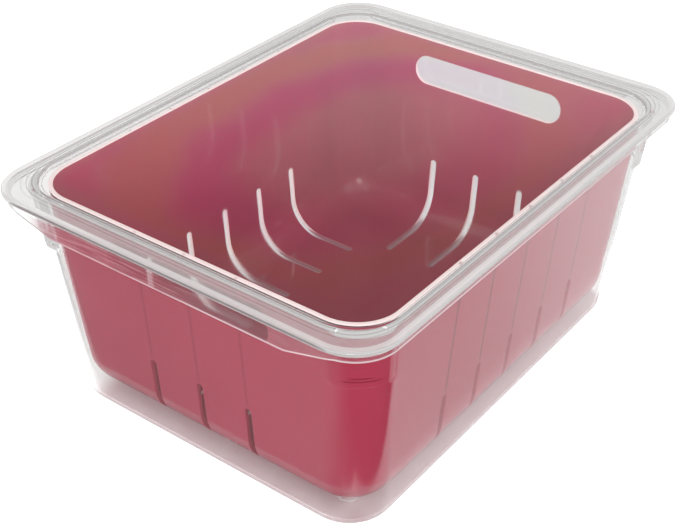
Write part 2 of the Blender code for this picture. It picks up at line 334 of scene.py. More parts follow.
def rounded(stations):
    """The stations with an arc in place of each one that has an edge radius."""
    made = []
    for i, here in enumerate(stations):
        if not here.edge or i in (0, len(stations) - 1):
            made.append(here)
            continue
        before, after = stations[i - 1], stations[i + 1]
        u = before.place() - here.place()
        v = after.place() - here.place()
        u_long, v_long = u.length, v.length
        u.normalize()
        v.normalize()
        half_turn = math.acos(max(-1.0, min(1.0, u.dot(v)))) / 2
        reach = min(here.edge / math.tan(half_turn), EDGE_REACH * u_long, EDGE_REACH * v_long)
        radius = reach * math.tan(half_turn)
        centre = (u + v).normalized() * radius / math.sin(half_turn)
        start = u * reach - centre
        turn = math.pi - 2 * half_turn
        side = 1.0 if start.cross(v * reach - centre) > 0 else -1.0
        det = u.x * v.y - u.y * v.x
        for step in range(EDGE_STEPS + 1):
            angle = side * turn * step / EDGE_STEPS
            spoke = Vector((
                start.x * math.cos(angle) - start.y * math.sin(angle),
                start.x * math.sin(angle) + start.y * math.cos(angle),
            ))
            point = centre + spoke
            a = (point.x * v.y - point.y * v.x) / det
            b = (u.x * point.y - u.y * point.x) / det
            made.append(here.towards(before, a / u_long, after, b / v_long))
    return made


def grip_share(x):
    """How far down a grip hangs at x, from 0 in the plain lip to 1 across the middle of a short end."""
    share = (SKIRT_RAMP_END - abs(x)) / (SKIRT_RAMP_END - SKIRT_HALF)
    ease = SKIRT_EASE / (SKIRT_RAMP_END - SKIRT_HALF) / 2

    def soft_floor(value):
        if value <= -ease:
            return 0.0
        if value >= ease:
            return value
        return (value + ease) ** 2 / (4 * ease)

    return soft_floor(share) - soft_floor(share - 1.0)


def grip_bends():
    """The places across a short end where a grip's lower edge turns level, from left to right."""
    bend = [SKIRT_BEND + SKIRT_EASE * (0.5 - i / BEND_STEPS) for i in range(BEND_STEPS + 1)]
    return [-x for x in bend] + list(reversed(bend))


def lug_share(degrees):
    """How far a lug stands out at an angle round its corner, from 0 to 1."""
    first, last = LUG_ARC
    inside = max(0.0, min(1.0, min(degrees - first, last - degrees) / LUG_SIDE + 1.0))
    return inside * inside * (3.0 - 2.0 * inside)


def ring_points(station, across):
    """One ring of points round a rounded rectangle, with more of them across the short ends."""
    half_x, half_y, radius, z, drop, lug = station.values
    points = []
    for corner, (sx, sy) in enumerate(((1, -1), (1, 1), (-1, 1), (-1, -1))):
        for step in range(CORNER_STEPS + 1):
            turn = 90.0 * step / CORNER_STEPS
            angle = math.radians(90.0 * (corner - 1) + turn)
            reach = radius + lug * lug_share(turn)
            x = sx * (half_x - radius) + reach * math.cos(angle)
            y = sy * (half_y - radius) + reach * math.sin(angle)
            points.append(Vector((x, y, z - drop * grip_share(x))))
        if corner == 1:
            points += [Vector((x, half_y, z - drop * grip_share(x))) for x in reversed(across)]
        if corner == 3:
            points += [Vector((x, -half_y, z - drop * grip_share(x))) for x in across]
    return points


def skinned(name, rings):
    """A closed solid through rings of points, with a flat cap on the first and on the last."""
    mesh = bpy.data.meshes.new(name)
    bm = bmesh.new()
    rows = [[bm.verts.new(point) for point in ring] for ring in rings]
    count = len(rows[0])
    for lower, upper in zip(rows, rows[1:]):
        for i in range(count):
            j = (i + 1) % count
            bm.faces.new((lower[i], lower[j], upper[j], upper[i]))
    bm.faces.new(reversed(rows[0]))
    bm.faces.new(rows[-1])
    bmesh.ops.recalc_face_normals(bm, faces=bm.faces)
    bm.to_mesh(mesh)
    bm.free()
    return bpy.data.objects.new(name, mesh)


def sweep(name, stations, across=()):
    """A closed solid through the stations' rings."""
    return skinned(name, [ring_points(station, across) for station in stations])


def grown(half, amount):
    return (half[0] + amount, half[1] + amount)


def fillet(half_at, corner_r, radius, floor_z, draft):
    """Stations up the rounded edge between a floor and leaning walls."""
    lean = math.atan(draft)
    centre_z = floor_z + radius
    inset = radius / math.cos(lean)
    made = []
    for step in range(FILLET_STEPS + 1):
        angle = math.radians(-90) + (math.radians(90) - lean) * step / FILLET_STEPS
        out = radius * math.cos(angle) - inset
        corner = max(corner_r + radius * (math.cos(angle) - 1), FILLET_LEAST_CORNER_R)
        half = grown(half_at(centre_z), out)
        made.append(Station(half, corner, centre_z + radius * math.sin(angle)))
    return made


def bin_half(z):
    """Half the bin's width and length, outside, at a height."""
    return grown(BIN_FLOOR_HALF, BIN_DRAFT * (z - FOOT_HEIGHT))


def basket_half(z):
    """Half the basket's width and length, outside, at a height."""
    return grown((BASKET_HIGH.x, BASKET_HIGH.y), BASKET_DRAFT * (z - BASKET_HIGH.z))


def button(name, radius, bottom, top, at, round_r):
    """A short upright stud with a rounded lower edge, used as a foot."""
    profile = [(radius - round_r, bottom)]
    for step in range(1, FOOT_EDGE_STEPS + 1):
        angle = math.radians(90) * step / FOOT_EDGE_STEPS
        out = radius - round_r + round_r * math.sin(angle)
        profile.append((out, bottom + round_r * (1 - math.cos(angle))))
    profile.append((radius, top))
    spokes = [math.tau * i / FOOT_SIDES for i in range(FOOT_SIDES)]
    return skinned(name, [
        [Vector((at[0] + r * math.cos(a), at[1] + r * math.sin(a), z)) for a in spokes]
        for r, z in profile
    ])


def placed(piece, looks):
    """The piece, put in the scene with its looks in order."""
    for look in looks:
        piece.data.materials.append(look)
    bpy.context.scene.collection.objects.link(piece)
    return piece


def joined(name, pieces, looks, index=0):
    """One mesh object from several that don't touch, with all its faces in one of the looks."""
    mesh = bpy.data.meshes.new(name)
    bm = bmesh.new()
    for piece in pieces:
        bm.from_mesh(piece.data)
        bpy.data.objects.remove(piece, do_unlink=True)
    for face in bm.faces:
        face.material_index = index
    bm.to_mesh(mesh)
    bm.free()
    return placed(bpy.data.objects.new(name, mesh), looks)


def baked(piece):
    """The piece with its modifiers applied."""
    bpy.context.view_layer.update()
    graph = bpy.context.evaluated_depsgraph_get()
    mesh = bpy.data.meshes.new_from_object(piece.evaluated_get(graph))
    piece.modifiers.clear()
    piece.data = mesh
    mesh.name = piece.name
    return piece


def boolean(piece, tool, operation):
    """Joins the tool to the piece or cuts it out, and removes the tool."""
    change = piece.modifiers.new(tool.name, "BOOLEAN")
    change.object = tool
    change.operation = operation
    change.solver = "EXACT"
    baked(piece)
    bpy.data.objects.remove(tool, do_unlink=True)


def four_corners(at):
    return [(sx * at[0], sy * at[1]) for sx in (-1, 1) for sy in (-1, 1)]


def smooth(piece):
    piece.data.shade_smooth()
    piece.data.set_sharp_from_angle(angle=math.radians(SMOOTH_TO))
    weigh = piece.modifiers.new("even_shading", "WEIGHTED_NORMAL")
    weigh.mode = "FACE_AREA"
    weigh.weight = EVEN_WEIGHT
    weigh.keep_sharp = True
    return piece


def build_bin(looks):
    """The tub with its flange, lip, grips, lugs and feet. The lip's lower edge takes the second look, with
    its painted glow.
    """
    under = BIN_HIGH.z - FLANGE_THICK
    flange = (BIN_HIGH.x, BIN_HIGH.y)
    lip_in = grown(flange, -FLANGE_THICK)
    lip_in_r = FLANGE_CORNER_R - FLANGE_THICK
    lip_z = BIN_HIGH.z - LIP_DROP
    inner_r = BIN_CORNER_R - BIN_WALL

    def inner_half(z):
        return grown(bin_half(z), -BIN_WALL)

    stations = fillet(bin_half, BIN_CORNER_R, BIN_FILLET_R, FOOT_HEIGHT, BIN_DRAFT)
    stations.append(Station(bin_half(LUG_BOTTOM), BIN_CORNER_R, LUG_BOTTOM))
    for below, share in LUG_SWELL:
        z = LUG_BOTTOM + LUG_CHAMFER - below
        stations.append(Station(bin_half(z), BIN_CORNER_R, z, lug=share * LUG_OUT))
    stations += [
        Station(bin_half(under), BIN_CORNER_R, under, lug=LUG_OUT, edge=FLANGE_FOLD_R[0]),
        Station(lip_in, lip_in_r, under, edge=FLANGE_FOLD_R[1]),
        Station(lip_in, lip_in_r, lip_z, drop=SKIRT_DROP, edge=LIP_EDGE_R),
        Station(flange, FLANGE_CORNER_R, lip_z, drop=SKIRT_DROP, edge=LIP_EDGE_R),
        Station(flange, FLANGE_CORNER_R, BIN_HIGH.z, edge=BIN_RIM_R),
        Station(inner_half(BIN_HIGH.z), inner_r, BIN_HIGH.z, edge=BIN_RIM_R),
    ]
    inner_floor = FOOT_HEIGHT + BIN_FLOOR
    inner_fillet = BIN_FILLET_R - BIN_WALL
    stations += reversed(fillet(inner_half, inner_r, inner_fillet, inner_floor, BIN_DRAFT))
    tub = placed(sweep("clear_bin", rounded(stations), grip_bends()), looks)
    foot_at = (BIN_FLOOR_HALF[0] - BIN_CORNER_R, BIN_FLOOR_HALF[1] - BIN_CORNER_R)
    foot_top = FOOT_HEIGHT + BIN_FLOOR / 2
    feet = [
        button(f"foot_{i}", FOOT_R, 0.0, foot_top, at, FOOT_EDGE_R)
        for i, at in enumerate(four_corners(foot_at))
    ]
    boolean(tub, joined("bin_feet", feet, looks), "UNION")
    lowest = lip_z - SKIRT_DROP - LIP_FACE_SLACK
    # the lip's lower edge faces take the second look, with its painted glow
    for face in tub.data.polygons:
        if lowest < face.center.z < under - LIP_FACE_BELOW and face.normal.z < LIP_FACE_TURN:
            face.material_index = 1
    return smooth(tub)


def slot_path(axis):
    """The middle line of a slot: down the wall, round the edge and along the floor."""
    middle = BASKET_WALL / 2
    radius = BASKET_FILLET_R - middle
    lean = math.atan(BASKET_DRAFT)
    centre_z = BASKET_BOTTOM + BASKET_FILLET_R
    centre_out = basket_half(centre_z)[axis] - BASKET_FILLET_R / math.cos(lean)
    path = [(basket_half(SLOT_TOP)[axis] - middle, SLOT_TOP)]
    for step in range(FILLET_STEPS):
        angle = -lean + (lean - math.radians(90)) * (step + 0.5) / FILLET_STEPS
        path.append((centre_out + radius * math.cos(angle), centre_z + radius * math.sin(angle)))
    path.append((SLOT_END[axis], BASKET_BOTTOM + middle))
    return path


def slot_cutter(name, axis, side, across):
    """A bent ribbon as wide as a slot, with half round ends, thickened through the wall."""
    mesh = bpy.data.meshes.new(name)
    bm = bmesh.new()
    half = SLOT_WIDTH / 2

    def point(out, z, offset):
        place = (side * out, across + offset) if axis == 0 else (across + offset, side * out)
        return bm.verts.new((*place, z))

    path = [Vector(p) for p in slot_path(axis)]
    first_way = (path[0] - path[1]).normalized()
    last_way = (path[-1] - path[-2]).normalized()
    path[0] = path[0] - first_way * half
    path[-1] = path[-1] - last_way * half
    rows = [[point(p.x, p.y, -half), point(p.x, p.y, half)] for p in path]
    for (a, b), (c, d) in zip(rows, rows[1:]):
        bm.faces.new((a, b, d, c))
    for row, start, way in ((rows[0], path[0], first_way), (rows[-1], path[-1], last_way)):
        arc = []
        for step in range(1, SLOT_TIP_STEPS):
            angle = math.radians(180) * step / SLOT_TIP_STEPS
            tip = start + way * half * math.sin(angle)
            arc.append(point(tip.x, tip.y, -half * math.cos(angle)))
        bm.faces.new([row[0], *arc, row[1]])
    bmesh.ops.recalc_face_normals(bm, faces=bm.faces)
    bm.to_mesh(mesh)
    bm.free()
    cutter = bpy.data.objects.new(name, mesh)
    bpy.context.scene.collection.objects.link(cutter)
    thick = cutter.modifiers.new("thickness", "SOLIDIFY")
    thick.thickness = BASKET_WALL + 2 * CUT_CLEAR
    thick.offset = 0.0
    thick.use_even_offset = True
    return baked(cutter)


def handle_cutter(name, side):
    """A long hole with round ends, through one short wall."""
    depth = BASKET_WALL / 2 + CUT_CLEAR
    hole = sweep(name, [Station(HANDLE_HALF, HANDLE_CORNER_R, z) for z in (-depth, depth)])
    wall_y = basket_half(HANDLE_Z)[1] - BASKET_WALL / 2
    hole.data.transform(Matrix.Rotation(math.radians(90), 4, "X"))
    hole.data.transform(Matrix.Translation((0.0, side * wall_y, HANDLE_Z)))
    return hole


def slot_places(count):
    return [SLOT_PITCH * (i - (count - 1) / 2) for i in range(count)]


def build_basket(looks):
    """The slotted basket. Its rim and cut edges take the second look, partly painted light, and the outside
    just below its rim the third, a painted shade.
    """
    inner_r = BASKET_CORNER_R - BASKET_WALL

    def inner_half(z):
        return grown(basket_half(z), -BASKET_WALL)

    stations = fillet(basket_half, BASKET_CORNER_R, BASKET_FILLET_R, BASKET_BOTTOM, BASKET_DRAFT)
    stations += [
        Station(basket_half(RIM_SHADE), BASKET_CORNER_R, RIM_SHADE),
        Station(basket_half(BASKET_HIGH.z), BASKET_CORNER_R, BASKET_HIGH.z, edge=BASKET_RIM_R),
        Station(inner_half(BASKET_HIGH.z), inner_r, BASKET_HIGH.z, edge=BASKET_RIM_R),
    ]
    inner_floor = BASKET_BOTTOM + BASKET_WALL
    inner_fillet = BASKET_FILLET_R - BASKET_WALL
    stations += reversed(fillet(inner_half, inner_r, inner_fillet, inner_floor, BASKET_DRAFT))
    basket = placed(sweep("colander_basket", rounded(stations)), looks)
    foot_top = BASKET_BOTTOM + BASKET_WALL / 2
    feet = [
        button(f"foot_{i}", BASKET_FOOT_R, BASKET_LOW.z, foot_top, at, BASKET_FOOT_EDGE_R)
        for i, at in enumerate(four_corners(BASKET_FOOT_AT))
    ]
    boolean(basket, joined("basket_feet", feet, looks), "UNION")
    cutters = []
    for axis, count in ((0, LONG_WALL_SLOTS), (1, SHORT_WALL_SLOTS)):
        for side in (-1, 1):
            for number, across in enumerate(slot_places(count)):
                cutters.append(slot_cutter(f"slot_{axis}_{side}_{number}", axis, side, across))
    cutters += [handle_cutter(f"hand_slot_{side}", side) for side in (-1, 1)]
    boolean(basket, joined("basket_cuts", cutters, looks, index=1), "DIFFERENCE")
    ease = basket.modifiers.new("cut_edges", "BEVEL")
    ease.limit_method = "ANGLE"
    ease.angle_limit = math.radians(CUT_EDGE_FROM)
    ease.width = CUT_ROUND
    ease.segments = 2
    baked(basket)
    for face in basket.data.polygons:
        outward = (face.normal.x * face.center.x + face.normal.y * face.center.y) > 0.0
        if face.center.z > RIM_PALE:
            face.material_index = 1
        # the outside just below the rim takes the painted shade
        elif face.center.z > RIM_SHADE and outward:
            face.material_index = 2
    return smooth(basket)


def build_lid(looks):
    """The lid, with a step down to its middle panel on top and another inside it beneath."""
    plug = grown(PANEL_HALF, -PLUG_INSET)
    plug_r = PANEL_CORNER_R - PLUG_INSET
    under = LID_HIGH.z - LID_THICK
    dipped = LID_HIGH.z - LID_RECESS
    stations = [
        Station(grown(plug, -CAP_INSET), plug_r - CAP_INSET, LID_LOW.z),
        Station(plug, plug_r, LID_LOW.z, edge=STEP_R[0]),
        Station(plug, plug_r, under, edge=STEP_R[1]),
        Station(LID_HALF, LID_CORNER_R, under, edge=LID_EDGE_R[0]),
        Station(LID_HALF, LID_CORNER_R, LID_HIGH.z, edge=LID_EDGE_R[1]),
        Station(PANEL_HALF, PANEL_CORNER_R, LID_HIGH.z, edge=STEP_R[0]),
        Station(PANEL_HALF, PANEL_CORNER_R, dipped, edge=STEP_R[1]),
        Station(grown(PANEL_HALF, -CAP_INSET), PANEL_CORNER_R - CAP_INSET, dipped),
    ]
    return smooth(placed(sweep("clear_lid", rounded(stations)), looks))


# ---------------------------------------------------------------- materials

class Nodes:
    """Short calls for building one node tree, starting from an empty one."""

    def __init__(self, owner, output="ShaderNodeOutputMaterial"):
        owner.use_nodes = True
        self.owner = owner
        self.tree = owner.node_tree
        self.tree.nodes.clear()
        self.out = self.tree.nodes.new(output)

    def add(self, kind, **inputs):
        node = self.tree.nodes.new(kind)
        for key, value in inputs.items():
            self.feed(node.inputs[key.replace("_", " ")], value)
        return node

    def feed(self, socket, value):
        if isinstance(value, bpy.types.NodeSocket):
            self.tree.links.new(value, socket)
        else:
            socket.default_value = value

    def math(self, operation, *values):
        node = self.tree.nodes.new("ShaderNodeMath")
        node.operation = operation
        for socket, value in zip(node.inputs, values):
            self.feed(socket, value)
        return node.outputs[0]

    def times(self, first, *others):
        for other in others:
            first = self.math("MULTIPLY", first, other)
        return first

    def most(self, first, *others):
        for other in others:
            first = self.math("MAXIMUM", first, other)
        return first

    def less(self, first, second):
        return self.math("SUBTRACT", first, second)

    def size(self, value):
        return self.math("ABSOLUTE", value)

    def noise(self, vector, scale, detail):
        return self.add("ShaderNodeTexNoise", Vector=vector, Scale=scale, Detail=detail).outputs["Fac"]

    def ramp(self, value, low, high, to_low=0.0, to_high=1.0):
        node = self.tree.nodes.new("ShaderNodeMapRange")
        node.interpolation_type = "SMOOTHSTEP"
        for socket, v in zip(node.inputs, (value, low, high, to_low, to_high)):
            self.feed(socket, v)
        return node.outputs[0]

    def fall(self, value, low, high):
        return self.ramp(value, low, high, 1.0, 0.0)

    def band(self, value, rise, fall, share=1.0):
        """Rises to share over one stretch of value, and falls back to nothing over another."""
        return self.times(self.ramp(value, *rise, 0.0, share), self.fall(value, *fall))

    def colour(self, share, first, second, blend="MIX"):
        node = self.tree.nodes.new("ShaderNodeMix")
        node.data_type = "RGBA"
        node.blend_type = blend
        self.feed(node.inputs[0], share)
        self.feed(node.inputs[6], first)
        self.feed(node.inputs[7], second)
        return node.outputs[2]

    def glow(self, colour, strength=1.0):
        return self.add("ShaderNodeEmission", Color=colour, Strength=strength).outputs[0]

    def mix(self, share, first, second):
        node = self.add("ShaderNodeMixShader", Fac=share)
        self.feed(node.inputs[1], first)
        self.feed(node.inputs[2], second)
        return node.outputs[0]

    def bump(self, height, strength, distance):
        return self.add("ShaderNodeBump", Height=height, Strength=strength, Distance=distance).outputs[0]

    def finished(self, surface):
        self.feed(self.out.inputs["Surface"], surface)
        return self.owner


class Place:
    """Where a point lies on its piece, and how far out from the middle."""

    def __init__(self, n):
        self.point = n.add("ShaderNodeTexCoord").outputs["Object"]
        self.x, self.y, self.z = n.add("ShaderNodeSeparateXYZ", Vector=self.point).outputs[:]
        self.out_x = n.size(self.x)
        self.out_y = n.size(self.y)


def stress_rings(n, at, tint):
    """The lid's colour and sheen, with faint rings of colour round its middle."""
    across = n.math("POWER", n.math("DIVIDE", at.out_x, RING_HALF[0]), 2.0)
    along = n.math("POWER", n.math("DIVIDE", at.out_y, RING_HALF[1]), 2.0)
    wander = n.times(n.less(n.noise(at.point, RING_SCALE, 2.0), 0.5), RING_WANDER)
    ring = n.math("ADD", n.math("SQRT", n.math("ADD", across, along)), wander)
    starts, ends = RING_FADE
    fade = n.times(
        n.fall(at.out_x, BASKET_HIGH.x - starts, BASKET_HIGH.x - ends),
        n.fall(at.out_y, BASKET_HIGH.y - starts, BASKET_HIGH.y - ends),
        n.ramp(at.x, *RING_RIGHT),
    )
    inner, outer = (n.band(ring, *stretch) for stretch in MAGENTA_RINGS)
    magenta = n.times(n.math("ADD", inner, outer), fade)
    green = n.times(n.band(ring, *GREEN_RING), fade)

    def ringed(colours):
        return n.colour(green, n.colour(magenta, WHITE, colours[0]), colours[1])

    return n.colour(1.0, tint, ringed(RING_TINTS), "MULTIPLY"), ringed(RING_SHEENS)


def lug_shade_lines(n, at, tint):
    """The bin's colour and sheen, with a thin dark line of painted shade, tinted like the basket, across
    each corner lug.
    """
    # painted shade: a darker base colour in a thin band at one height, near the corners
    fold = n.size(n.less(at.z, LUG_SHADE_Z))
    corner = n.times(n.ramp(at.out_x, *LUG_SHADE_FROM[0]), n.ramp(at.out_y, *LUG_SHADE_FROM[1]))
    lug_shade = n.times(n.ramp(fold, *LUG_SHADE_HALF, LUG_SHADE_SHARE, 0.0), corner)
    return n.colour(lug_shade, tint, LUG_SHADE_TINT), WHITE


def grip_painted_glow(n, at, plastic):
    """Painted glow: emitted streaks of the basket's colour on the near grip, standing in for the basket seen
    through it.
    """
    stretched = n.add("ShaderNodeCombineXYZ", X=n.times(at.x, STREAK_STRETCH), Y=at.y, Z=at.z).outputs[0]
    streak = n.ramp(n.noise(stretched, STREAK_SCALE, 2.0), *STREAK_NOISE)
    share = n.times(
        n.fall(at.y, *STREAK_Y),
        n.fall(at.out_x, *STREAK_END),
        n.ramp(at.x, *STREAK_SHARE),
        n.fall(at.z, BIN_HIGH.z - STREAK_TOP[0], BIN_HIGH.z - STREAK_TOP[1]),
    )
    # the painted glow is mixed over the plastic
    return n.mix(share, plastic, n.glow(n.colour(streak, STREAK_GLOW_DEEP, STREAK_GLOW_PALE)))


def lip_edge_glow(n, at, plastic):
    """Painted glow at the lip's lower edge, standing in for light that leaves it: rosy at the near corner
    and grey far from it.
    """
    change = n.ramp(n.less(at.x, at.y), *EDGE_CHANGE)
    return n.mix(EDGE_GLOW_SHARE, plastic, n.glow(n.colour(change, EDGE_GLOW_BEHIND, EDGE_GLOW_AHEAD)))


def lid_border_painted_light(n, at, plastic):
    """Painted light in the lid's border, where its moulding is too fine to shape: a pale sheen, a highlight
    band near the edge and fine lines of painted shade, all emitted.
    """

    def beyond(half, radius):
        """How far a point lies outside a rounded rectangle, or less than nothing inside it."""
        past_x = n.most(n.less(at.out_x, half[0] - radius), 0.0)
        past_y = n.most(n.less(at.out_y, half[1] - radius), 0.0)
        past = n.math("SQRT", n.math("MULTIPLY_ADD", past_x, past_x, n.times(past_y, past_y)))
        return n.less(past, radius)

    def below_top(depth, share=1.0):
        return n.ramp(at.z, LID_HIGH.z - depth[0], LID_HIGH.z - depth[1], 0.0, share)

    from_panel = beyond(PANEL_HALF, PANEL_CORNER_R)
    to_edge = n.times(beyond(LID_HALF, LID_CORNER_R), -1.0)
    across = n.math("DIVIDE", from_panel, n.math("ADD", from_panel, to_edge))
    # painted sheen beyond the panel's step, and a painted highlight band near the lid's edge
    haze = n.ramp(from_panel, *BORDER_SHEEN_FROM, 0.0, BORDER_SHEEN)
    painted_highlight = n.times(n.band(to_edge, *HIGHLIGHT_BAND), below_top(HIGHLIGHT_BAND_DEPTH, HIGHLIGHT_BAND_SHARE))
    # painted shade: fine dark lines at the panel's step and across the border
    dark = n.times(n.fall(n.size(from_panel), *STEP_LINE_HALF), n.ramp(at.y, *STEP_LINE_DARK))
    on_top = below_top(LINE_DEPTH)
    for where, share in BORDER_LINES:
        line = n.ramp(n.size(n.less(across, where)), *BORDER_LINE_HALF, share, 0.0)
        dark = n.most(dark, n.times(line, on_top))
    # painted shade in the gap along the near side, where the lid meets the bin
    gap_shade = n.times(
        n.ramp(n.math("ADD", at.y, LID_HALF[1]), *GAP_SHADE_IN, GAP_SHADE_SHARE, 0.0),
        below_top(GAP_SHADE_DEPTH),
        n.fall(at.out_x, *GAP_SHADE_END),
    )
    dark = n.most(dark, gap_shade)
    shown = n.colour(n.math("GREATER_THAN", dark, SHADE_FROM), BORDER_HIGHLIGHT, BORDER_SHADE)
    return n.mix(n.most(haze, painted_highlight, dark), plastic, n.glow(shown))


def clear_plastic(name, tint, tinged=None, marked=None):
    """Clear moulded plastic: slight ripple, faint haze and a trace of grey.

    tinged works out its colour and sheen where they vary, and marked lays something over it.
    """
    n = Nodes(bpy.data.materials.new(name))
    at = Place(n)
    skin = n.times(n.noise(at.point, SKIN_SCALE, 2.0), SKIN_DEPTH)
    height = n.math("ADD", n.noise(at.point, RIPPLE_SCALE, 1.0), skin)
    colour, sheen = tinged(n, at, tint) if tinged else (tint, WHITE)
    plastic = n.add(
        "ShaderNodeBsdfPrincipled",
        Base_Color=colour,
        Specular_Tint=sheen,
        Roughness=n.ramp(n.noise(at.point, HAZE_SCALE, 3.0), *HAZE),
        IOR=CLEAR_IOR,
        Transmission_Weight=1.0,
        Normal=n.bump(height, RIPPLE_STRENGTH, RIPPLE_DISTANCE),
    ).outputs[0]
    if marked:
        plastic = marked(n, at, plastic)
    light = n.add("ShaderNodeLightPath")
    passing = n.most(light.outputs["Is Shadow Ray"], light.outputs["Is Diffuse Ray"])
    plastic = n.mix(passing, plastic, n.add("ShaderNodeBsdfTransparent", Color=CLEAR_PASS).outputs[0])

    # painted glow: once light has turned this often inside the plastic, the surface shows an even pale glow
    # in its place, standing in for light led along inside and out of its edges
    led = n.ramp(light.outputs["Ray Depth"], *LED_TURNS)
    return n.finished(n.mix(led, plastic, n.glow(LED_GLOW)))


def raspberry_plastic(name, low, high, pale_lit_edge=None, ior=1.5):
    """Opaque glossy plastic with flow lines above the slots and faint cloudiness between two colours.

    pale_lit_edge is the colour of the rim and of the cut edges. On the left and far cut edges it is painted
    light, as if lit by daylight coming through, fading out along the floor, and all pale edges carry a faint
    painted glow.
    """
    n = Nodes(bpy.data.materials.new(name))
    at = Place(n)

    def flow_lines(along, out_along, out_across, count, rim_half):
        """Narrow lines up the outside of a wall, one above each slot, where the plastic met in the mould."""
        cell = n.math("DIVIDE", along, SLOT_PITCH)
        near = n.size(n.less(cell, n.math("ROUND", cell)))
        middle = rim_half - BASKET_WALL / 2 - BASKET_DRAFT * BASKET_HIGH.z
        return n.times(
            n.fall(near, *FLOW_LINE_HALF),
            n.math("LESS_THAN", out_along, SLOT_PITCH * count / 2),
            n.math("GREATER_THAN", out_across, n.math("MULTIPLY_ADD", at.z, BASKET_DRAFT, middle)),
            n.ramp(at.z, SLOT_TOP, SLOT_TOP + FLOW_LINE_START),
        )

    long_lines = flow_lines(at.y, at.out_y, at.out_x, LONG_WALL_SLOTS, BASKET_HIGH.x)
    short_lines = flow_lines(at.x, at.out_x, at.out_y, SHORT_WALL_SLOTS, BASKET_HIGH.y)
    lines = n.most(long_lines, n.times(short_lines, SHORT_LINE_SHARE))
    base = n.colour(n.ramp(n.noise(at.point, CLOUD_SCALE, 3.0), *CLOUD_NOISE), low, high)
    through = 0.0
    if pale_lit_edge:
        side = n.less(n.math("DIVIDE", at.y, BASKET_HIGH.y), n.math("DIVIDE", at.x, BASKET_HIGH.x))
        above_floor = n.less(at.z, BASKET_BOTTOM + BASKET_WALL)
        # painted light: cut edges pale on the left and far sides, fading along the floor; the rim pale all
        # round
        cut = n.times(n.ramp(side, *PALE_SIDE), n.ramp(above_floor, *PALE_FLOOR))
        lit = n.most(cut, n.ramp(at.z, RIM_PALE - RIM_SOFT, RIM_PALE))
        base = n.colour(lit, base, pale_lit_edge)
        through = n.times(lit, EDGE_GLOW)
    base = n.colour(n.times(lines, FLOW_LINE_SHARE), base, FLOW_LINE)
    skin = n.times(n.noise(at.point, BASKET_SKIN_SCALE, 2.0), BASKET_SKIN_DEPTH)
    height = n.less(skin, n.times(lines, FLOW_LINE_DEPTH))
    weight, depth, spread = BENEATH_SKIN
    return n.finished(n.add(
        "ShaderNodeBsdfPrincipled",
        Base_Color=base,
        Roughness=n.ramp(n.noise(at.point, GLOSS_SCALE, 3.0), *GLOSS),
        IOR=ior,
        Normal=n.bump(height, BASKET_BUMP_STRENGTH, BASKET_BUMP_DISTANCE),
        Emission_Color=pale_lit_edge or low,
        Emission_Strength=through,
        Subsurface_Weight=weight,
        Subsurface_Scale=depth,
        Subsurface_Radius=spread,
    ).outputs[0])


def table_material():
    """A lit pale table, plain white to look at.

    What shines through or is mirrored by the object sees painted shade and light on it: dimmer beneath, with
    the basket's colour painted on as bounced light, dim in front, and brighter on the right.
    """
    n = Nodes(bpy.data.materials.new("pale_table"))
    light = n.add("ShaderNodeLightPath")
    place = n.add("ShaderNodeNewGeometry").outputs["Position"]
    x, y, _ = n.add("ShaderNodeSeparateXYZ", Vector=place).outputs[:]
    under = n.times(n.fall(x, *UNDER_RIGHT), n.ramp(x, *UNDER_LEFT), n.fall(n.size(y), *UNDER_ENDS))

    slant = n.less(y, n.times(n.less(x, SLANT_FROM), TABLE_SLANT))
    along = n.math("ADD", n.ramp(slant, *BESIDE_NEAR), n.ramp(slant, *BESIDE_FAR))
    beside = n.times(n.ramp(x, *BESIDE_FROM), along)
    mirrored = n.math("ADD", n.ramp(x, *CORNER_FROM, TABLE_AHEAD, TABLE_CORNER), beside)
    ahead = n.times(n.fall(y, *AHEAD_Y), n.ramp(x, *AHEAD_LEFT))
    ahead = n.most(ahead, n.ramp(x, *AHEAD_RIGHT))

    # light that a wall has thrown back once, whether off the clear wall or off the basket inside it
    turns = light.outputs["Glossy Depth"]
    passes = light.outputs["Transmission Depth"]
    few = n.times(n.math("LESS_THAN", turns, ONE_TURN[1]), n.math("LESS_THAN", passes, FEW_PASSES))
    thrown = n.times(
        n.math("GREATER_THAN", turns, ONE_TURN[0]),
        n.most(few, n.math("LESS_THAN", passes, NO_PASS)),
        ahead,
    )
    soft = n.times(light.outputs["Is Diffuse Ray"], 1.0 - TABLE_SOFT)
    level = n.times(
        n.less(1.0, n.times(under, 1.0 - TABLE_UNDER)),
        n.ramp(y, *BEHIND_FROM, 1.0, TABLE_BEHIND),
        n.less(1.0, soft),
    )
    level = n.math("ADD", n.times(thrown, mirrored), n.times(n.less(1.0, thrown), level))
    seen = light.outputs["Is Camera Ray"]
    unseen = n.less(1.0, seen)
    level = n.math("ADD", n.times(level, unseen), seen)
    strength = n.math("ADD", TABLE_GLOW, n.times(seen, TABLE_WHITE - TABLE_GLOW))
    blush = n.colour(n.times(under, unseen), WHITE, TABLE_BLUSH)
    lit = n.math("MINIMUM", n.times(level, TABLE_ALBEDO), 1.0)
    grey = n.add("ShaderNodeCombineXYZ", X=lit, Y=lit, Z=lit).outputs[0]
    both = n.add("ShaderNodeAddShader")
    n.feed(both.inputs[0], n.glow(blush, n.times(level, strength)))
    n.feed(both.inputs[1], n.add("ShaderNodeBsdfDiffuse", Color=grey).outputs[0])
    return n.finished(both.outputs[0])


# ---------------------------------------------------------------- the object

